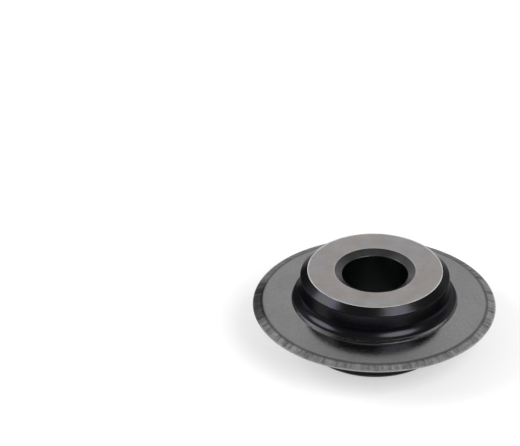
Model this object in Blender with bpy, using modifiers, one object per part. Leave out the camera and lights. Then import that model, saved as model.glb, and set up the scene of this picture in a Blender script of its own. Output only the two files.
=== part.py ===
"""Pipe cutter wheel: a hardened steel disc with a sharp double-bevelled edge and a long bored hub.

The wheel is turned from one bar, so the model is one solid of revolution about Z. Its origin is
the wheel's centre, where the bore axis crosses the plane of the cutting edge. Both sides are alike.
"""
import math

import bmesh
import bpy
from mathutils import Vector

MM = 0.001

# Cutting disc
EDGE_DIAMETER = 18.5 * MM
BEVEL_WIDTH = 0.7 * MM
THICKNESS_AT_BEVEL = 0.59 * MM
THICKNESS_AT_HUB = 1.2 * MM

# Hub, whose two ends carry the wheel between the jaws of the cutter
HUB_LENGTH = 6.3 * MM
HUB_DIAMETER = 11.38 * MM
END_CHAMFER_WIDTH = 0.52 * MM
END_CHAMFER_HEIGHT = 0.48 * MM

# Root, where the hub wall sweeps out to a lip, and a step leans out from the lip to the disc
ROOT_SPREAD = 0.52 * MM
ROOT_SLOPE = math.radians(31)
SWEEP_RADIUS = 0.8 * MM
STEP_SPREAD = 0.08 * MM
STEP_HEIGHT = 0.26 * MM

# Bore for the pin, with a countersunk mouth at each end
BORE_DIAMETER = 5.05 * MM
MOUTH_WIDTH = 0.57 * MM
MOUTH_DEPTH = 0.33 * MM

# Small rounds left by turning and deburring
FACE_EDGE_RADIUS = 0.08 * MM
CHAMFER_FOOT_RADIUS = 0.12 * MM
STEP_TOP_RADIUS = 0.04 * MM
STEP_FOOT_RADIUS = 0.05 * MM
ROUNDED_SHARE = 0.98  # most of a side that the rounds at its two ends may take up

# Facets: steps round the axis, and how far a facet of a round may lie from its true arc
TURN_STEPS = 96
ARC_TOLERANCE = 0.003 * MM
SHARP_ANGLE = math.radians(25)

# Black oxide on hardened steel
STEEL_COLOUR = (0.13, 0.13, 0.14, 1.0)
STEEL_ROUGHNESS = 0.38
STEEL_METALLIC = 1.0


def clear_scene():
    for item in list(bpy.data.objects):
        bpy.data.objects.remove(item, do_unlink=True)


def half_outline():
    """Corners of the upper half section as (radius, height, round), from the bore to the edge."""
    end = HUB_LENGTH / 2
    bore = BORE_DIAMETER / 2
    wall = HUB_DIAMETER / 2
    lip = wall + ROOT_SPREAD
    edge = EDGE_DIAMETER / 2
    disc_top = THICKNESS_AT_HUB / 2
    lip_height = disc_top + STEP_HEIGHT
    sweep_corner = lip_height + ROOT_SPREAD * math.tan(ROOT_SLOPE)
    return [
        (bore, end - MOUTH_DEPTH, 0),
        (bore + MOUTH_WIDTH, end, 0),
        (wall - END_CHAMFER_WIDTH, end, FACE_EDGE_RADIUS),
        (wall, end - END_CHAMFER_HEIGHT, CHAMFER_FOOT_RADIUS),
        (wall, sweep_corner, SWEEP_RADIUS),
        (lip, lip_height, STEP_TOP_RADIUS),
        (lip + STEP_SPREAD, disc_top, STEP_FOOT_RADIUS),
        (edge - BEVEL_WIDTH, THICKNESS_AT_BEVEL / 2, 0),
        (edge, 0, 0),
    ]


def turn_angle(before, corner, after):
    return (corner - before).angle(after - corner)


def setbacks(points, rounds):
    """Distance from each corner to where its arc starts, shortened where a side is too short."""
    wanted = [0.0] * len(points)
    for i in range(1, len(points) - 1):
        wanted[i] = rounds[i] * math.tan(turn_angle(*points[i - 1:i + 2]) / 2)
    share = [1.0] * len(points)
    for i in range(len(points) - 1):
        taken = wanted[i] + wanted[i + 1]
        room = (points[i + 1] - points[i]).length * ROUNDED_SHARE
        if taken > room:
            share[i] = min(share[i], room / taken)
            share[i + 1] = min(share[i + 1], room / taken)
    return [length * part for length, part in zip(wanted, share)]


def arc(before, corner, after, setback):
    """Points of the arc that touches both sides at the setback from the corner."""
    angle = turn_angle(before, corner, after)
    start = corner + (before - corner).normalized() * setback
    finish = corner + (after - corner).normalized() * setback
    radius = setback / math.tan(angle / 2)
    middle = (start + finish) / 2
    centre = corner + (middle - corner).normalized() * (radius / math.cos(angle / 2))
    widest = 2 * math.acos(1 - ARC_TOLERANCE / radius)
    count = max(2, math.ceil(angle / widest))
    first = (start - centre).normalized()
    last = (finish - centre).normalized()
    return [centre + first.slerp(last, i / count) * radius for i in range(count + 1)]


def rounded(corners):
    """The outline with each corner that has a round replaced by its arc."""
    points = [Vector((radius, 0, height)) for radius, height, _ in corners]
    backs = setbacks(points, [corner[2] for corner in corners])
    outline = []
    for i, point in enumerate(points):
        if backs[i] > 0:
            outline += arc(*points[i - 1:i + 2], backs[i])
        else:
            outline.append(point)
    return outline


def full_section():
    """The upper half and its mirror image below, as one loop that runs down its outer side."""
    upper = rounded(half_outline())
    lower = [Vector((point.x, 0, -point.z)) for point in reversed(upper[:-1])]
    return upper + lower


def turned(name, loop):
    """Turn a closed loop of points round the Z axis into a solid mesh object."""
    wire = bpy.data.meshes.new(name + "_section")
    build = bmesh.new()
    verts = [build.verts.new(point) for point in loop]
    for i, vert in enumerate(verts):
        build.edges.new((vert, verts[(i + 1) % len(verts)]))
    build.to_mesh(wire)
    build.free()

    body = bpy.data.objects.new(name, wire)
    part_collection().objects.link(body)
    screw = body.modifiers.new("turn", "SCREW")
    screw.axis = "Z"
    screw.steps = TURN_STEPS
    screw.render_steps = TURN_STEPS

    evaluated = body.evaluated_get(bpy.context.evaluated_depsgraph_get())
    mesh = bpy.data.meshes.new_from_object(evaluated)
    mesh.name = name
    body.modifiers.remove(screw)
    body.data = mesh
    bpy.data.meshes.remove(wire)
    mesh.shade_smooth()
    mesh.set_sharp_from_angle(angle=SHARP_ANGLE)
    return body


def part_collection():
    name = "pipe_cutter_wheel"
    found = bpy.data.collections.get(name)
    if found is None:
        found = bpy.data.collections.new(name)
        bpy.context.scene.collection.children.link(found)
    return found


def steel_material():
    steel = bpy.data.materials.new("black_oxide_steel")
    steel.use_nodes = True
    shader = steel.node_tree.nodes["Principled BSDF"]
    shader.inputs["Base Color"].default_value = STEEL_COLOUR
    shader.inputs["Roughness"].default_value = STEEL_ROUGHNESS
    shader.inputs["Metallic"].default_value = STEEL_METALLIC
    return steel


def main():
    clear_scene()
    wheel = turned("cutter_wheel", full_section())
    wheel.data.materials.append(steel_material())


main()
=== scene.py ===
import math

import bmesh
import bpy
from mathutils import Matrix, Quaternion, Vector


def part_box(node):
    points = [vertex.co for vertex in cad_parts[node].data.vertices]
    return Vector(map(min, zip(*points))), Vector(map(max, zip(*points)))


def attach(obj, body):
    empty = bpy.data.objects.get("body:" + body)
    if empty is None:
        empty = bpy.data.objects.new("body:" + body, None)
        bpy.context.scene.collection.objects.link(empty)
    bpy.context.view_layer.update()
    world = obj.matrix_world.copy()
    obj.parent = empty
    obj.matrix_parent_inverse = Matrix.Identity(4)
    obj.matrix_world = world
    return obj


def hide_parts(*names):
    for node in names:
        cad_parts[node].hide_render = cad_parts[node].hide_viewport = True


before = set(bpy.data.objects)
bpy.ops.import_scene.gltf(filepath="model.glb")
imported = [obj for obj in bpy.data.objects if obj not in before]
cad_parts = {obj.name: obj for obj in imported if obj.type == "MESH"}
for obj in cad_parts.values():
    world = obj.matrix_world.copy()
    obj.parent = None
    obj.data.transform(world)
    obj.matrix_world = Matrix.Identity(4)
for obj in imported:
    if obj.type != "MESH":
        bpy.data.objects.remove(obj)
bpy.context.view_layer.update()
mm = 0.001
wheelLow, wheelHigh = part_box("cutter_wheel")

# the turned section, from the bore out to the cutting edge, upper half
wheel = {
    "segments": 360,
    "edgeRadius": wheelHigh.x,
    "hubEnd": wheelHigh.z,
    "boreRadius": 2.525 * mm,
    "mouthWidth": 0.57 * mm,
    "mouthDepth": 0.33 * mm,
    "wallRadius": 5.69 * mm,
    "chamferWidth": 0.52 * mm,
    "chamferHeight": 0.48 * mm,
    "rootSpread": 0.52 * mm,
    "rootSlope": math.radians(31),
    "stepSpread": 0.08 * mm,
    "stepHeight": 0.26 * mm,
    "discTop": 0.6 * mm,
    "bevelWidth": 0.7 * mm,
    "bevelTop": 0.295 * mm,
    # radius and segments of each round
    "mouthRound": (0.04 * mm, 3),
    "faceRound": (0.08 * mm, 5),
    "shoulderRound": (0.12 * mm, 4),
    "sweepRound": (0.8 * mm, 20),
    "lipRound": (0.04 * mm, 3),
    "footRound": (0.05 * mm, 4),
    "bevelRound": (0.25 * mm, 3),
    "sharpAbove": math.radians(28),
    "merge": 0.001 * mm,
    "near": 0.002 * mm,  # how close a vertex lies to the ring it is picked by
    "hubReach": 0.02 * mm,  # how far past the lip the hub's black reaches
}


def alone():
    # leave edit mode and drop every selection before the next operator
    if bpy.context.object and bpy.context.object.mode != "OBJECT":
        bpy.ops.object.mode_set(mode="OBJECT")
    bpy.ops.object.select_all(action="DESELECT")


def pullRing(fromRing, toRing):
    # extrude the open loop and scale it to the next ring of the section
    bpy.ops.mesh.extrude_region_move(
        TRANSFORM_OT_translate={"value": (0, 0, toRing[1] - fromRing[1])}
    )
    ratio = toRing[0] / fromRing[0]
    bpy.ops.transform.resize(value=(ratio, ratio, 1), center_override=(0, 0, 0))


def pickRing(ring):
    # select the edge loop that runs round the axis at this radius and height
    mesh = bmesh.from_edit_mesh(bpy.context.object.data)
    bpy.ops.mesh.select_all(action="DESELECT")
    for edge in mesh.edges:
        offRing = [
            math.hypot(v.co.xy.length - ring[0], v.co.z - ring[1]) for v in edge.verts
        ]
        edge.select_set(max(offRing) < wheel["near"])
    mesh.select_flush_mode()
    bmesh.update_edit_mesh(bpy.context.object.data)


def roundRing(rings, index):
    # bevel one ring to a true radius: the offset is the arc's setback along each side
    radius, segments = rings[index][2]
    before, here, after = (Vector(rings[i][:2]) for i in (index - 1, index, index + 1))
    turn = (here - before).angle(after - here)
    pickRing(rings[index])
    bpy.ops.mesh.bevel(
        offset=radius * math.tan(turn / 2),
        segments=segments,
        profile=0.5,
        affect="EDGES",
        clamp_overlap=False,
    )


def resizeWheel(factor):
    # in the mesh itself, so that the object keeps a scale of 1
    bpy.ops.object.mode_set(mode="EDIT")
    bpy.ops.mesh.select_all(action="SELECT")
    bpy.ops.transform.resize(value=(factor, factor, factor), center_override=(0, 0, 0))
    bpy.ops.object.mode_set(mode="OBJECT")


def buildWheel():
    w = wheel
    lip = w["wallRadius"] + w["rootSpread"]
    lipHeight = w["discTop"] + w["stepHeight"]
    sweepStart = lipHeight + w["rootSpread"] * math.tan(w["rootSlope"])
    # radius, height and round of each ring of the section
    rings = [
        (w["boreRadius"], 0, None),
        (w["boreRadius"], w["hubEnd"] - w["mouthDepth"], w["mouthRound"]),
        (w["boreRadius"] + w["mouthWidth"], w["hubEnd"], w["mouthRound"]),
        (w["wallRadius"] - w["chamferWidth"], w["hubEnd"], w["faceRound"]),
        (w["wallRadius"], w["hubEnd"] - w["chamferHeight"], w["shoulderRound"]),
        (w["wallRadius"], sweepStart, w["sweepRound"]),
        (lip, lipHeight, w["lipRound"]),
        (lip + w["stepSpread"], w["discTop"], w["footRound"]),
        (w["edgeRadius"] - w["bevelWidth"], w["bevelTop"], w["bevelRound"]),
        (w["edgeRadius"], 0, None),
    ]
    alone()
    bpy.ops.mesh.primitive_circle_add(
        vertices=w["segments"], radius=w["boreRadius"], fill_type="NOTHING"
    )
    body = bpy.context.object
    body.name = "turnedWheel"
    bpy.ops.object.mode_set(mode="EDIT")
    bpy.ops.mesh.select_mode(type="EDGE")
    bpy.ops.mesh.select_all(action="SELECT")
    for fromRing, toRing in zip(rings, rings[1:]):
        pullRing(fromRing, toRing)
    for index, ring in enumerate(rings):
        if ring[2]:
            roundRing(rings, index)
    bpy.ops.mesh.select_all(action="SELECT")
    bpy.ops.mesh.normals_make_consistent(inside=False)
    bpy.ops.object.mode_set(mode="OBJECT")

    mirror = body.modifiers.new("otherSide", "MIRROR")
    mirror.use_axis = (False, False, True)
    mirror.merge_threshold = w["merge"]
    bpy.ops.object.modifier_apply(modifier=mirror.name)
    bpy.ops.object.mode_set(mode="EDIT")
    bpy.ops.mesh.select_all(action="SELECT")
    bpy.ops.mesh.normals_make_consistent(inside=False)
    bpy.ops.object.mode_set(mode="OBJECT")
    bpy.ops.object.shade_smooth_by_angle(angle=w["sharpAbove"])
    # faces this small are weighed as nothing, so the wheel is weighed a thousand times larger
    resizeWheel(1 / mm)
    crisp = body.modifiers.new("flatsStayFlat", "WEIGHTED_NORMAL")
    crisp.keep_sharp = True
    bpy.ops.object.modifier_apply(modifier=crisp.name)
    resizeWheel(mm)
    print("wheel built,", len(body.data.polygons), "faces")
    return body


def addNode(tree, kind, **settings):
    made = tree.nodes.new("ShaderNode" + kind)
    for name, value in settings.items():
        setattr(made, name, value)
    return made


def feed(tree, socket, value):
    # plug an output into a socket, or set the socket's own value
    if isinstance(value, bpy.types.NodeSocket):
        tree.links.new(value, socket)
    else:
        socket.default_value = value


def calculate(tree, operation, *values):
    made = addNode(tree, "Math", operation=operation)
    for socket, value in zip(made.inputs, values):
        feed(tree, socket, value)
    return made.outputs[0]


def remap(tree, value, low, high, toLow=0.0, toHigh=1.0, smooth=False):
    made = addNode(tree, "MapRange")
    made.interpolation_type = "SMOOTHSTEP" if smooth else "LINEAR"
    for socket, number in zip(made.inputs, (value, low, high, toLow, toHigh)):
        feed(tree, socket, number)
    return made.outputs["Result"]


def mixColour(tree, amount, under, over):
    made = addNode(tree, "Mix", data_type="RGBA")
    feed(tree, made.inputs["Factor"], amount)
    feed(tree, made.inputs[6], under)
    feed(tree, made.inputs[7], over)
    return made.outputs[2]


def noise(tree, place, scale, detail, rough):
    made = addNode(tree, "TexNoise", noise_dimensions="3D")
    feed(tree, made.inputs["Vector"], place)
    feed(tree, made.inputs["Scale"], scale)
    feed(tree, made.inputs["Detail"], detail)
    feed(tree, made.inputs["Roughness"], rough)
    return made.outputs["Fac"]


def newGroup(name, ins, outs):
    group = bpy.data.node_groups.new(name, "ShaderNodeTree")
    for label, kind, value in ins:
        socket = group.interface.new_socket(label, in_out="INPUT", socket_type="NodeSocket" + kind)
        if value is not None:
            socket.default_value = value
    for label, kind in outs:
        group.interface.new_socket(label, in_out="OUTPUT", socket_type="NodeSocket" + kind)
    start = group.nodes.new("NodeGroupInput")
    end = group.nodes.new("NodeGroupOutput")
    return group, start.outputs, end.inputs


def useGroup(tree, group, **values):
    made = tree.nodes.new("ShaderNodeGroup")
    made.node_tree = group
    for label, value in values.items():
        feed(tree, made.inputs[label], value)
    return made.outputs


# where a point lies on the turned section, in mm, and which way round the axis
def placeGroup():
    group, _, ends = newGroup(
        "placeOnWheel", [],
        [("Point", "Vector"), ("Radius", "Float"), ("Height", "Float"), ("Around", "Vector")],
    )
    coords = addNode(group, "TexCoord")
    scaled = addNode(group, "VectorMath", operation="SCALE")
    feed(group, scaled.inputs[0], coords.outputs["Object"])
    feed(group, scaled.inputs["Scale"], 1 / mm)
    flat = addNode(group, "VectorMath", operation="MULTIPLY")
    feed(group, flat.inputs[0], scaled.outputs[0])
    feed(group, flat.inputs[1], (1, 1, 0))
    radius = addNode(group, "VectorMath", operation="LENGTH")
    feed(group, radius.inputs[0], flat.outputs[0])
    around = addNode(group, "VectorMath", operation="NORMALIZE")
    feed(group, around.inputs[0], flat.outputs[0])
    split = addNode(group, "SeparateXYZ")
    feed(group, split.inputs[0], scaled.outputs[0])
    feed(group, ends["Point"], scaled.outputs[0])
    feed(group, ends["Radius"], radius.outputs["Value"])
    feed(group, ends["Height"], calculate(group, "ABSOLUTE", split.outputs["Z"]))
    feed(group, ends["Around"], around.outputs[0])
    return group


# bright or dark line along one ring of the section, broken up by noise: worn edges, the bevel's
# dark land, and the painted shade in the step's corner
def ringWearAndShadeGroup():
    group, starts, ends = newGroup(
        "ringWearAndShade",
        [("Point", "Vector", None), ("Radius", "Float", 0.0), ("Height", "Float", 0.0),
         ("RingRadius", "Float", 5.0), ("RingHeight", "Float", 0.0), ("Width", "Float", 0.1),
         ("Breakup", "Float", 0.5), ("Patch", "Float", 1.5)],
        [("Mask", "Float")],
    )
    outward = calculate(group, "SUBTRACT", starts["Radius"], starts["RingRadius"])
    upward = calculate(group, "SUBTRACT", starts["Height"], starts["RingHeight"])
    squares = calculate(
        group, "ADD", calculate(group, "POWER", outward, 2.0),
        calculate(group, "POWER", upward, 2.0),
    )
    away = calculate(group, "SQRT", squares)
    patchy = noise(group, starts["Point"], starts["Patch"], 3.0, 0.6)
    change = calculate(
        group, "MULTIPLY", remap(group, patchy, 0.3, 0.7, -1.0, 1.0), starts["Breakup"]
    )
    reach = calculate(group, "MULTIPLY", starts["Width"], calculate(group, "ADD", change, 1.0))
    nearness = calculate(group, "DIVIDE", away, calculate(group, "MAXIMUM", reach, 0.001))
    feed(group, ends["Mask"], remap(group, nearness, 0.0, 1.0, 1.0, 0.0, smooth=True))
    return group


# fine lines left by the lathe, which run round the axis
def turningMarksGroup():
    group, starts, ends = newGroup(
        "turningMarks",
        [("Around", "Vector", None), ("Along", "Float", 0.0), ("LinesPerMm", "Float", 12.0),
         ("Drift", "Float", 0.5)],
        [("Relief", "Float")],
    )
    turn = addNode(group, "VectorMath", operation="SCALE")
    feed(group, turn.inputs[0], starts["Around"])
    feed(group, turn.inputs["Scale"], starts["Drift"])
    step = addNode(group, "CombineXYZ")
    lines = calculate(group, "MULTIPLY", starts["Along"], starts["LinesPerMm"])
    feed(group, step.inputs["Z"], lines)
    path = addNode(group, "VectorMath", operation="ADD")
    feed(group, path.inputs[0], turn.outputs[0])
    feed(group, path.inputs[1], step.outputs[0])
    feed(group, ends["Relief"], noise(group, path.outputs[0], 1.0, 3.0, 0.7))
    return group


# short scratches left by the grinding wheel, which cross the rings
def grindMarksGroup():
    group, starts, ends = newGroup(
        "grindMarks",
        [("Around", "Vector", None), ("Along", "Float", 0.0), ("MarksRound", "Float", 60.0),
         ("PerMm", "Float", 0.8)],
        [("Relief", "Float"), ("Streak", "Float")],
    )
    turn = addNode(group, "VectorMath", operation="SCALE")
    feed(group, turn.inputs[0], starts["Around"])
    feed(group, turn.inputs["Scale"], starts["MarksRound"])
    step = addNode(group, "CombineXYZ")
    feed(group, step.inputs["Z"], calculate(group, "MULTIPLY", starts["Along"], starts["PerMm"]))
    path = addNode(group, "VectorMath", operation="ADD")
    feed(group, path.inputs[0], turn.outputs[0])
    feed(group, path.inputs[1], step.outputs[0])
    feed(group, ends["Relief"], noise(group, path.outputs[0], 1.0, 2.0, 0.6))
    feed(group, ends["Streak"], noise(group, path.outputs[0], 0.4, 3.0, 0.6))
    return group


# uneven tone of oxide and ground steel: broad clouds, and a grain as fine as sand
def mottleGroup():
    group, starts, ends = newGroup(
        "steelMottle",
        [("Point", "Vector", None), ("CloudsPerMm", "Float", 0.4), ("GrainPerMm", "Float", 5.0)],
        [("Clouds", "Float"), ("Tint", "Float"), ("Grain", "Float")],
    )
    shifted = addNode(group, "VectorMath", operation="ADD")
    feed(group, shifted.inputs[0], starts["Point"])
    feed(group, shifted.inputs[1], (37.0, 11.0, 5.0))
    clouds = noise(group, starts["Point"], starts["CloudsPerMm"], 3.0, 0.55)
    tint = noise(group, shifted.outputs[0], starts["CloudsPerMm"], 1.0, 0.5)
    grain = noise(group, starts["Point"], starts["GrainPerMm"], 4.0, 0.65)
    feed(group, ends["Clouds"], remap(group, clouds, 0.3, 0.7))
    feed(group, ends["Tint"], remap(group, tint, 0.35, 0.65))
    feed(group, ends["Grain"], remap(group, grain, 0.3, 0.7))
    return group


placeOnWheel = placeGroup()
ringWearAndShade = ringWearAndShadeGroup()
turningMarks = turningMarksGroup()
grindMarks = grindMarksGroup()
steelMottle = mottleGroup()


def newSteel(name):
    steel = bpy.data.materials.new(name)
    steel.use_nodes = True
    tree = steel.node_tree
    shader = tree.nodes["Principled BSDF"]
    feed(tree, shader.inputs["Metallic"], 1.0)
    return steel, tree, shader, useGroup(tree, placeOnWheel)


def ringMask(tree, place, radius, height, width, breakup, patch=1.5):
    # radius and height in metres, width in mm
    return useGroup(
        tree, ringWearAndShade, Point=place["Point"], Radius=place["Radius"], Height=place["Height"],
        RingRadius=radius / mm, RingHeight=height / mm, Width=width, Breakup=breakup, Patch=patch,
    )["Mask"]


def emboss(tree, shader, relief, depth, under=None):
    # depth in mm; a second relief sits on top of the first
    bump = addNode(tree, "Bump")
    feed(tree, bump.inputs["Strength"], 1.0)
    feed(tree, bump.inputs["Distance"], depth * mm)
    feed(tree, bump.inputs["Height"], relief)
    if under is not None:
        feed(tree, bump.inputs["Normal"], under)
    feed(tree, shader.inputs["Normal"], bump.outputs["Normal"])
    return bump.outputs["Normal"]


endFace = {
    "dark": (0.228, 0.213, 0.204, 1),
    "light": (0.37, 0.348, 0.335, 1),
    "warm": (0.313, 0.276, 0.258, 1),
    "cool": (0.305, 0.305, 0.335, 1),
    "tint": 0.45,  # share of the warm and cool tones
    "worn": (0.8, 0.79, 0.78, 1),
    "outerWear": 0.13,  # mm
    "mouthWear": 0.08,
    "mouthShare": 0.25,  # how much of that wear the mouth's edge shows
    "roughness": (0.34, 0.44),
    "wornShine": 0.1,  # how much smoother the worn edges are
    "lineDepth": 0.006,  # mm
    "grainDepth": 0.004,
}


def groundEndFace():
    f = endFace
    w = wheel
    steel, tree, shader, place = newSteel("groundEndFace")
    tone = useGroup(tree, steelMottle, Point=place["Point"], CloudsPerMm=0.7, GrainPerMm=2.6)
    blend = calculate(
        tree, "ADD", calculate(tree, "MULTIPLY", tone["Clouds"], 0.55),
        calculate(tree, "MULTIPLY", tone["Grain"], 0.45),
    )
    colour = mixColour(tree, blend, f["dark"], f["light"])
    warm = calculate(tree, "MULTIPLY", tone["Tint"], f["tint"])
    colour = mixColour(tree, warm, colour, f["warm"])
    cool = calculate(tree, "SUBTRACT", f["tint"], warm)
    colour = mixColour(tree, cool, colour, f["cool"])
    outer = ringMask(
        tree, place, w["wallRadius"] - w["chamferWidth"], w["hubEnd"], f["outerWear"], 0.35
    )
    mouth = ringMask(
        tree, place, w["boreRadius"] + w["mouthWidth"], w["hubEnd"], f["mouthWear"], 0.7
    )
    mouth = calculate(tree, "MULTIPLY", mouth, f["mouthShare"])
    worn = calculate(tree, "MAXIMUM", outer, mouth)
    colour = mixColour(tree, worn, colour, f["worn"])
    feed(tree, shader.inputs["Base Color"], colour)
    rough = remap(tree, tone["Grain"], 0.0, 1.0, *f["roughness"])
    shine = calculate(tree, "MULTIPLY", worn, f["wornShine"])
    feed(tree, shader.inputs["Roughness"], calculate(tree, "SUBTRACT", rough, shine))
    lines = useGroup(
        tree, turningMarks, Around=place["Around"], Along=place["Radius"], LinesPerMm=9.0, Drift=1.2
    )
    normal = emboss(tree, shader, lines["Relief"], f["lineDepth"])
    emboss(tree, shader, tone["Grain"], f["grainDepth"], normal)
    return steel


discFinish = {
    "dark": (0.19, 0.19, 0.19, 1),
    "light": (0.255, 0.255, 0.255, 1),
    "land": (0.07, 0.07, 0.072, 1),  # the dark ring that grinding left at the bevel
    "landWidth": 0.2,  # mm
    "landShift": 0.03 * mm,  # outwards from where the bevel starts
    "landShare": 0.85,
    "grazing": (0.7, 0.7, 0.7, 1),
    "step": (0.35, 0.35, 0.352, 1),
    "corner": (0.015, 0.015, 0.016, 1),  # painted shade in the inner corner where the step meets the disc, which damps a lamp glint on the round there
    "cornerWidth": 0.05,  # mm
    "roughness": (0.14, 0.2),
    "lineDepth": 0.0012,  # mm
    "grainDepth": 0.002,
}


def addLand(tree, place, colour):
    # a darker ring where the ground side meets the ground bevel
    d = discFinish
    w = wheel
    land = ringMask(
        tree, place, w["edgeRadius"] - w["bevelWidth"] + d["landShift"], w["bevelTop"],
        d["landWidth"], 0.25, 0.8,
    )
    return mixColour(tree, calculate(tree, "MULTIPLY", land, d["landShare"]), colour, d["land"])


def satinDisc():
    d = discFinish
    w = wheel
    steel, tree, shader, place = newSteel("satinDisc")
    tone = useGroup(tree, steelMottle, Point=place["Point"], CloudsPerMm=0.4, GrainPerMm=4.5)
    blend = calculate(
        tree, "ADD", calculate(tree, "MULTIPLY", tone["Clouds"], 0.35),
        calculate(tree, "MULTIPLY", tone["Grain"], 0.65),
    )
    colour = mixColour(tree, blend, d["dark"], d["light"])
    top = w["discTop"] / mm
    onStep = remap(tree, place["Height"], top + 0.01, top + 0.05)
    colour = mixColour(tree, onStep, colour, d["step"])
    # painted shade: a dark ring in the inner corner at the step's foot damps the lamp's glint on
    # the round there
    corner = ringMask(
        tree, place, w["wallRadius"] + w["rootSpread"] + w["stepSpread"], w["discTop"],
        d["cornerWidth"], 0.3,
    )
    colour = mixColour(tree, corner, colour, d["corner"])
    colour = addLand(tree, place, colour)
    feed(tree, shader.inputs["Base Color"], colour)
    feed(tree, shader.inputs["Specular Tint"], d["grazing"])
    feed(tree, shader.inputs["Roughness"], remap(tree, tone["Grain"], 0.0, 1.0, *d["roughness"]))
    lines = useGroup(
        tree, turningMarks, Around=place["Around"], Along=place["Radius"], LinesPerMm=7.0, Drift=1.5
    )
    normal = emboss(tree, shader, lines["Relief"], d["lineDepth"])
    emboss(tree, shader, tone["Grain"], d["grainDepth"], normal)
    return steel


bevelFinish = {
    "dark": (0.05, 0.05, 0.05, 1),
    "light": (0.36, 0.36, 0.36, 1),
    "worn": (0.45, 0.45, 0.45, 1),
    "edgeWear": 0.18,  # mm
    "wornShare": 0.85,
    "grazing": (0.52, 0.52, 0.52, 1),
    "roughness": (0.16, 0.26),
    "markDepth": 0.004,  # mm
    "grainDepth": 0.002,
}


def groundBevel():
    b = bevelFinish
    w = wheel
    steel, tree, shader, place = newSteel("groundBevel")
    feed(tree, shader.inputs["Specular Tint"], b["grazing"])
    marks = useGroup(
        tree, grindMarks, Around=place["Around"], Along=place["Radius"], MarksRound=70.0, PerMm=1.2
    )
    tone = useGroup(tree, steelMottle, Point=place["Point"], CloudsPerMm=0.5, GrainPerMm=6.0)
    streak = remap(tree, marks["Streak"], 0.36, 0.64)
    patches = calculate(
        tree, "ADD", calculate(tree, "MULTIPLY", tone["Clouds"], 0.25),
        calculate(tree, "MULTIPLY", tone["Grain"], 0.25),
    )
    blend = calculate(tree, "ADD", calculate(tree, "MULTIPLY", streak, 0.5), patches)
    colour = mixColour(tree, blend, b["dark"], b["light"])
    colour = addLand(tree, place, colour)
    edge = ringMask(tree, place, w["edgeRadius"], 0, b["edgeWear"], 0.6, 1.2)
    worn = calculate(tree, "MULTIPLY", edge, b["wornShare"])
    colour = mixColour(tree, worn, colour, b["worn"])
    feed(tree, shader.inputs["Base Color"], colour)
    feed(tree, shader.inputs["Roughness"], remap(tree, streak, 0.0, 1.0, *b["roughness"]))
    normal = emboss(tree, shader, marks["Relief"], b["markDepth"])
    emboss(tree, shader, tone["Grain"], b["grainDepth"], normal)
    return steel


hubFinish = {
    "dark": (0.016, 0.016, 0.017, 1),
    "light": (0.024, 0.024, 0.025, 1),
    "violet": (0.027, 0.022, 0.037, 1),
    "green": (0.022, 0.024, 0.021, 1),
    "tint": 0.5,  # share of the violet and green tones
    "worn": (0.06, 0.06, 0.06, 1),
    "edgeWear": 0.07,  # mm
    "wornShare": 0.35,
    "grazing": (0.47, 0.47, 0.47, 1),  # how bright the oxide mirrors at a flat angle
    "metal": 0.93,  # the rest is the oxide's own dull black
    "roughness": (0.19, 0.25),
    "lineDepth": 0.0025,  # mm
    "grainDepth": 0.0008,
}


def turnedHub():
    h = hubFinish
    w = wheel
    steel, tree, shader, place = newSteel("turnedHub")
    feed(tree, shader.inputs["Specular Tint"], h["grazing"])
    feed(tree, shader.inputs["Metallic"], h["metal"])
    tone = useGroup(tree, steelMottle, Point=place["Point"], CloudsPerMm=0.45, GrainPerMm=6.0)
    colour = mixColour(tree, tone["Clouds"], h["dark"], h["light"])
    hue = mixColour(tree, tone["Tint"], h["violet"], h["green"])
    colour = mixColour(tree, h["tint"], colour, hue)
    shoulder = ringMask(
        tree, place, w["wallRadius"], w["hubEnd"] - w["chamferHeight"], h["edgeWear"], 0.8
    )
    faceEdge = ringMask(
        tree, place, w["wallRadius"] - w["chamferWidth"], w["hubEnd"], h["edgeWear"], 0.8
    )
    edges = calculate(tree, "MAXIMUM", shoulder, faceEdge)
    worn = calculate(tree, "MULTIPLY", edges, h["wornShare"])
    colour = mixColour(tree, worn, colour, h["worn"])
    feed(tree, shader.inputs["Base Color"], colour)
    feed(tree, shader.inputs["Roughness"], remap(tree, tone["Clouds"], 0.0, 1.0, *h["roughness"]))
    along = calculate(tree, "ADD", place["Height"], place["Radius"])
    lines = useGroup(
        tree, turningMarks, Around=place["Around"], Along=along, LinesPerMm=8.0, Drift=0.6
    )
    normal = emboss(tree, shader, lines["Relief"], h["lineDepth"])
    emboss(tree, shader, tone["Grain"], h["grainDepth"], normal)
    return steel


mouthFinish = {
    "mouth": (0.055, 0.053, 0.054, 1),
    "mouthLight": (0.078, 0.076, 0.077, 1),
    "bore": (0.075, 0.078, 0.08, 1),
    "roughness": (0.26, 0.36),
    "lineDepth": 0.006,  # mm
}


def boreAndMouth():
    m = mouthFinish
    w = wheel
    steel, tree, shader, place = newSteel("boreAndMouth")
    tone = useGroup(tree, steelMottle, Point=place["Point"], CloudsPerMm=0.6, GrainPerMm=5.0)
    bore = w["boreRadius"] / mm
    inMouth = remap(tree, place["Radius"], bore + 0.01, bore + 0.06)
    mouth = mixColour(tree, tone["Clouds"], m["mouth"], m["mouthLight"])
    feed(tree, shader.inputs["Base Color"], mixColour(tree, inMouth, m["bore"], mouth))
    feed(tree, shader.inputs["Roughness"], remap(tree, tone["Clouds"], 0.0, 1.0, *m["roughness"]))
    lines = useGroup(
        tree, turningMarks, Around=place["Around"], Along=place["Height"], LinesPerMm=8.0, Drift=0.5
    )
    emboss(tree, shader, lines["Relief"], m["lineDepth"])
    return steel


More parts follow.
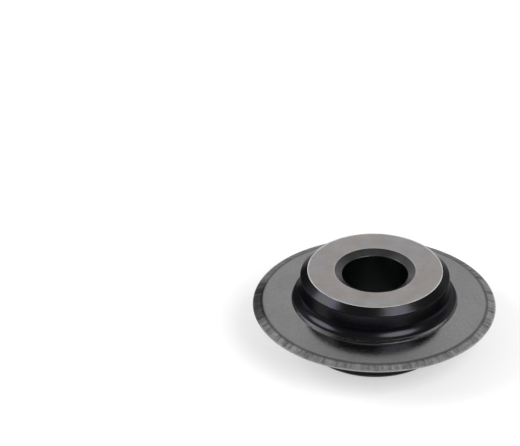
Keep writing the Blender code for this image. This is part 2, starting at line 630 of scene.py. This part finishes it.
def finishWheel(body):
    w = wheel
    lip = w["wallRadius"] + w["rootSpread"]
    bevelStart = w["edgeRadius"] - w["bevelWidth"]
    for finish in (groundEndFace, boreAndMouth, turnedHub, satinDisc, groundBevel):
        body.data.materials.append(finish())
    # each face takes its finish by its place: the numbers follow the order above
    for face in body.data.polygons:
        radius = face.center.xy.length
        height = abs(face.center.z)
        if radius < w["boreRadius"] + w["mouthWidth"] and height < w["hubEnd"] - w["near"]:
            face.material_index = 1
        elif height > w["hubEnd"] - w["near"]:
            face.material_index = 0
        elif radius < lip + w["hubReach"]:
            face.material_index = 2
        elif radius < bevelStart:
            face.material_index = 3
        else:
            face.material_index = 4
    print("finishes:", ", ".join(slot.name for slot in body.data.materials))


camera = {
    "distance": 88 * wheelHigh.x,
    "elevation": math.radians(33.27),
    "roll": math.radians(1.36),
    "aimOff": (114.31, 82.02),  # pixels right of and below the middle of the frame
    "focal": 10689,  # pixels
    "frameWidth": 520,
    "sensor": 36,
}


def addCamera():
    c = camera
    back = Vector((0, -math.cos(c["elevation"]), math.sin(c["elevation"])))
    alone()
    bpy.ops.object.camera_add(location=back * c["distance"])
    eye = bpy.context.object
    eye.name = "photoCamera"
    eye.data.sensor_width = c["sensor"]
    eye.data.lens = c["focal"] / c["frameWidth"] * c["sensor"]
    right, down = c["aimOff"]
    yaw = math.atan2(right, c["focal"])
    pitch = math.atan2(down, math.hypot(c["focal"], right))
    eye.rotation_mode = "QUATERNION"
    eye.rotation_quaternion = (
        (-back).to_track_quat("-Z", "Y")
        @ Quaternion((0, 0, 1), c["roll"])
        @ Quaternion((1, 0, 0), pitch)
        @ Quaternion((0, 1, 0), yaw)
    )
    eye.data.clip_start = 0.01
    eye.data.clip_end = 20
    bpy.context.scene.camera = eye
    print("camera placed", round(c["distance"], 3), "m away")


# the studio: directions are azimuth from +X and elevation, in degrees, seen from the wheel
studio = {
    "floorSize": 6,
    "floorGap": 0.005 * mm,
    "floorColour": (0.9, 0.9, 0.9, 1),
    "floorGlow": 0.5,  # share of the floor's white that comes from its own glow
    "shadowReach": 1.5,  # edge radii from the axis
    "shadowShare": 0.9,
    "airForDiffuse": 0.55,
    "sheetStart": 1.9,  # edge radii from the axis
    "lampDistance": 0.3,
    "lamps": {
        # azimuth, elevation, degrees across, brightness
        "leftLamp": (184, 34.5, 35, 4.6),
        "rightLamp": (311, 41.5, 41, 4.8),
    },
}


def direction(azimuth, elevation):
    a, e = math.radians(azimuth), math.radians(elevation)
    return Vector((math.cos(e) * math.cos(a), math.cos(e) * math.sin(a), math.sin(e)))


def backdropMask(tree):
    # 1 for the rays that see the backdrop: from the camera, or by way of metal or glass
    path = addNode(tree, "LightPath")
    seen = calculate(
        tree, "MAXIMUM", path.outputs["Is Camera Ray"], path.outputs["Is Glossy Ray"]
    )
    return calculate(tree, "MAXIMUM", seen, path.outputs["Is Transmission Ray"])


def addFloor():
    alone()
    bpy.ops.mesh.primitive_plane_add(
        size=studio["floorSize"], location=(0, 0, wheelLow.z - studio["floorGap"])
    )
    sheet = bpy.context.object
    sheet.name = "paleFloor"
    paint = bpy.data.materials.new("paleFloorPaint")
    paint.use_nodes = True
    tree = paint.node_tree
    shader = tree.nodes["Principled BSDF"]
    feed(tree, shader.inputs["Base Color"], studio["floorColour"])
    feed(tree, shader.inputs["Roughness"], 0.9)
    feed(tree, shader.inputs["Specular IOR Level"], 0.0)
    glow = addNode(tree, "Emission")
    # metal sees no glow in the wheel's own shadow
    coords = addNode(tree, "TexCoord")
    away = addNode(tree, "VectorMath", operation="LENGTH")
    feed(tree, away.inputs[0], coords.outputs["Object"])
    path = addNode(tree, "LightPath")
    shaded = remap(
        tree, away.outputs["Value"], wheelHigh.x, studio["shadowReach"] * wheelHigh.x,
        studio["shadowShare"], 0.0, smooth=True,
    )
    kept = calculate(
        tree, "SUBTRACT", 1.0, calculate(tree, "MULTIPLY", path.outputs["Is Glossy Ray"], shaded)
    )
    share = calculate(tree, "MULTIPLY", backdropMask(tree), studio["floorGlow"])
    share = calculate(tree, "MULTIPLY", share, kept)
    both = addNode(tree, "MixShader")
    feed(tree, both.inputs["Fac"], share)
    feed(tree, both.inputs[1], shader.outputs[0])
    feed(tree, both.inputs[2], glow.outputs[0])
    feed(tree, tree.nodes["Material Output"].inputs["Surface"], both.outputs[0])
    sheet.data.materials.append(paint)
    print("floor laid")


def addAir():
    world = bpy.data.worlds.new("studioAir")
    bpy.context.scene.world = world
    world.use_nodes = True
    tree = world.node_tree
    air = tree.nodes["Background"]
    feed(tree, air.inputs["Color"], (1, 1, 1, 1))
    strength = remap(tree, backdropMask(tree), 0.0, 1.0, studio["airForDiffuse"], 1.0)
    feed(tree, air.inputs["Strength"], strength)
    print("white air set")


# the tent's tones, and where they fade: degrees round from straight behind, or up from the floor
tent = {
    "radius": 0.6,
    "dark": 0.22,
    "leftFade": (44, 76),
    "rightFade": (46, 66),
    "poleFade": 15,
    "top": 0.28,
    "topFade": (80, 89),
    "patch": 0.35,  # how much greyer the patch is
    "patchFrom": (44, 49),
    "patchUpTo": (64, 74),
    "patchAside": (15, 40),
    "room": 0.01,
    "roomFade": (70, 134),
    "roomFrom": (95, 120),
    "roomUpTo": (12, 30),
}


def rise(value, start, end):
    # 0 up to start, 1 past end, and a straight slope between
    return min(max((value - start) / (end - start), 0), 1)


def fall(value, start, end, low):
    return 1 + (low - 1) * rise(value, start, end)


def horizonTone(aside):
    # the room is white behind the wheel and dark round the camera
    return fall(abs(aside), *tent["roomFade"], tent["room"])


def fromBehind(azimuth):
    return (azimuth + 90) % 360 - 180


def tentTone(azimuth, elevation):
    # white cloth behind the wheel, which darkens overhead and to the sides
    t = tent
    aside = fromBehind(azimuth)
    height = fall(elevation, *t["topFade"], t["top"])
    across = fall(abs(aside), *t["leftFade" if aside > 0 else "rightFade"], t["dark"])
    # straight overhead the azimuth means nothing, so the sides fade in below
    sides = 1 + (across - 1) * rise(90 - elevation, 0, t["poleFade"])
    tone = max(height * sides, t["dark"])
    # a greyer patch high up behind, which the front of the disc mirrors
    patch = rise(elevation, *t["patchFrom"]) * (1 - rise(elevation, *t["patchUpTo"]))
    tone *= 1 - t["patch"] * patch * (1 - rise(abs(aside), *t["patchAside"]))
    # near the floor in front, the dark room
    low = rise(abs(aside), *t["roomFrom"]) * (1 - rise(elevation, *t["roomUpTo"]))
    return tone + (horizonTone(aside) - tone) * low


def addTent():
    # only its reflection shows: the cloth is dark in front and opens to the white air behind
    alone()
    bpy.ops.mesh.primitive_uv_sphere_add(
        segments=120, ring_count=60, radius=tent["radius"]
    )
    dome = bpy.context.object
    dome.name = "darkTent"
    bpy.ops.object.mode_set(mode="EDIT")
    bpy.ops.mesh.select_all(action="DESELECT")
    mesh = bmesh.from_edit_mesh(dome.data)
    bpy.ops.mesh.select_mode(type="FACE")
    for face in mesh.faces:
        face.select_set(face.calc_center_median().z < wheelLow.z)
    bmesh.update_edit_mesh(dome.data)
    bpy.ops.mesh.delete(type="FACE")
    bpy.ops.object.mode_set(mode="OBJECT")
    tones = dome.data.attributes.new("tone", "FLOAT", "POINT")
    for index, point in enumerate(dome.data.vertices):
        azimuth = math.degrees(math.atan2(point.co.y, point.co.x)) % 360
        elevation = math.degrees(math.atan2(point.co.z, point.co.xy.length))
        tones.data[index].value = tentTone(azimuth, elevation)
    showInReflections(dome, "tentCloth", tone="tone")
    print("tent hung,", len(dome.data.polygons), "panels")


def addFrontSheet():
    # the floor between the wheel and the camera, as the step mirrors it at a flat angle
    inner = studio["sheetStart"] * wheelHigh.x
    outer = 0.98 * tent["radius"]  # just inside the tent
    alone()
    bpy.ops.mesh.primitive_circle_add(
        vertices=120, radius=inner, fill_type="NOTHING", location=(0, 0, wheelLow.z)
    )
    sheet = bpy.context.object
    sheet.name = "frontSheet"
    bpy.ops.object.mode_set(mode="EDIT")
    bpy.ops.mesh.select_mode(type="EDGE")
    bpy.ops.mesh.select_all(action="SELECT")
    bpy.ops.mesh.extrude_region_move()
    grow = outer / inner
    bpy.ops.transform.resize(value=(grow, grow, 1), center_override=(0, 0, wheelLow.z))
    bpy.ops.object.mode_set(mode="OBJECT")
    tones = sheet.data.attributes.new("tone", "FLOAT", "POINT")
    for index, point in enumerate(sheet.data.vertices):
        azimuth = math.degrees(math.atan2(point.co.y, point.co.x))
        tones.data[index].value = horizonTone(fromBehind(azimuth))
    showInReflections(sheet, "frontPaper", tone="tone")
    print("front sheet laid")


def showInReflections(card, name, tone):
    # a card that glows by its own tone, a number or an attribute's name, and blocks no light
    cloth = bpy.data.materials.new(name)
    cloth.use_nodes = True
    tree = cloth.node_tree
    tree.nodes.remove(tree.nodes["Principled BSDF"])
    glow = addNode(tree, "Emission")
    if isinstance(tone, str):
        painted = addNode(tree, "Attribute", attribute_name=tone)
        feed(tree, glow.inputs["Color"], painted.outputs["Fac"])
    else:
        feed(tree, glow.inputs["Color"], (tone, tone, tone, 1))
    feed(tree, tree.nodes["Material Output"].inputs["Surface"], glow.outputs[0])
    card.data.materials.append(cloth)
    card.visible_camera = False
    card.visible_diffuse = False
    card.visible_shadow = False


sideCard = {
    # a dark card at the left, which the left of the bevel mirrors; in edge radii
    "left": -3.6,
    "right": -1.3,
    "behind": 1.5,
    "top": 1.5,
    "tone": 0.2,
}


def addSideCard():
    s = sideCard
    unit = wheelHigh.x
    wide = (s["right"] - s["left"]) * unit
    tall = s["top"] * unit - wheelLow.z
    alone()
    bpy.ops.mesh.primitive_plane_add(size=1, rotation=(math.pi / 2, 0, 0))
    card = bpy.context.object
    card.name = "darkSideCard"
    card.scale = (wide, tall, 1)
    card.location = (s["left"] * unit + wide / 2, s["behind"] * unit, wheelLow.z + tall / 2)
    showInReflections(card, "darkCardboard", s["tone"])
    print("side card stood up")


def addLamps():
    for name, (azimuth, elevation, across, brightness) in studio["lamps"].items():
        away = direction(azimuth, elevation)
        reach = studio["lampDistance"]
        alone()
        bpy.ops.object.light_add(type="AREA", location=away * reach)
        lamp = bpy.context.object
        lamp.name = name
        lamp.rotation_mode = "QUATERNION"
        lamp.rotation_quaternion = away.to_track_quat("Z", "Y")
        lamp.data.shape = "DISK"
        lamp.data.size = 2 * reach * math.tan(math.radians(across / 2))
        # a lamp of this many watts shows the brightness asked for
        lamp.data.energy = math.pi * lamp.data.size ** 2 * brightness
        lamp.visible_camera = False
    print("studio lit by", len(studio["lamps"]), "lamps and the air")


bpy.context.scene.view_settings.view_transform = "Standard"
addCamera()
wheelBody = buildWheel()
finishWheel(wheelBody)
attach(wheelBody, "root")
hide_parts("cutter_wheel")
addFloor()
addAir()
addTent()
addSideCard()
addFrontSheet()
addLamps()
